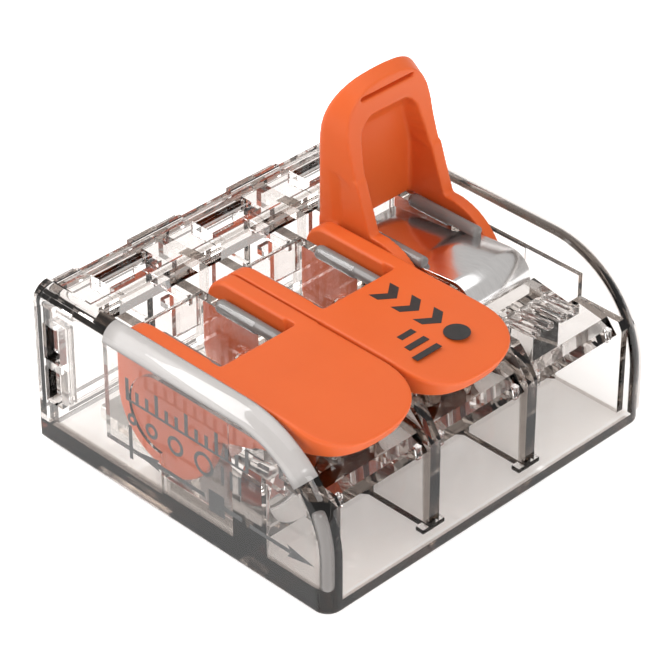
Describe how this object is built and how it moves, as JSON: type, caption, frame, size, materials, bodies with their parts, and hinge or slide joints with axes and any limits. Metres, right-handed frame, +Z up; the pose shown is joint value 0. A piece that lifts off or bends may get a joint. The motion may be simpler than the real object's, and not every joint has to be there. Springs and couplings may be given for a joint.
{
  "type": "lever wire connector",
  "caption": "Clear wire connector with orange lift-up levers, spring clamps over a common busbar, and square wire entries along the front.",
  "frame": {"origin": "middle of the underside of the housing with its rear cover, on the surface it stands on", "axes": "+X across the poles, -Y towards the wire entries, +Z up"},
  "size_m": [0.023, 0.0211, 0.0167],
  "materials": {
    "clear_plastic": "clear moulded polycarbonate with a faint warm grey tint",
    "orange_plastic": "satin orange moulded plastic",
    "tinned_copper": "bright tin plating over copper",
    "spring_steel": "bright stainless spring strip"
  },
  "bodies": {
    "root": {"main_housing": "clear_plastic", "rear_cover": "clear_plastic", "busbar": "tinned_copper", "clamp_spring_1": "spring_steel", "clamp_spring_2": "spring_steel", "clamp_spring_3": "spring_steel"},
    "lever_body_1": {"lever_1": "orange_plastic"},
    "leg_body_1": {"clamp_leg_1": "spring_steel"},
    "lever_body_2": {"lever_2": "orange_plastic"},
    "leg_body_2": {"clamp_leg_2": "spring_steel"},
    "lever_body_3": {"lever_3": "orange_plastic"},
    "leg_body_3": {"clamp_leg_3": "spring_steel"}
  },
  "joints": [
    {"name": "lever_hinge_1", "type": "hinge", "parent": "root", "child": "lever_body_1", "pos_m": [-0.0069, 0.0015, 0.0055], "axis": [-1, 0, 0], "range_deg": [0, 90]},
    {"name": "leg_flex_1", "type": "hinge", "parent": "root", "child": "leg_body_1", "pos_m": [-0.0069, -0.0032, 0.00685], "axis": [1, 0, 0], "range_deg": [0, 45]},
    {"name": "lever_hinge_2", "type": "hinge", "parent": "root", "child": "lever_body_2", "pos_m": [0, 0.0015, 0.0055], "axis": [-1, 0, 0], "range_deg": [0, 90]},
    {"name": "leg_flex_2", "type": "hinge", "parent": "root", "child": "leg_body_2", "pos_m": [0, -0.0032, 0.00685], "axis": [1, 0, 0], "range_deg": [0, 45]},
    {"name": "lever_hinge_3", "type": "hinge", "parent": "root", "child": "lever_body_3", "pos_m": [0.0069, 0.0015, 0.0055], "axis": [-1, 0, 0], "range_deg": [-90, 0]},
    {"name": "leg_flex_3", "type": "hinge", "parent": "root", "child": "leg_body_3", "pos_m": [0.0069, -0.0032, 0.00685], "axis": [1, 0, 0], "range_deg": [-45, 0]}
  ],
  "couplings": [
    {"joint": "leg_flex_1", "follows": "lever_hinge_1", "ratio": 0.5},
    {"joint": "leg_flex_2", "follows": "lever_hinge_2", "ratio": 0.5},
    {"joint": "leg_flex_3", "follows": "lever_hinge_3", "ratio": 0.5}
  ]
}
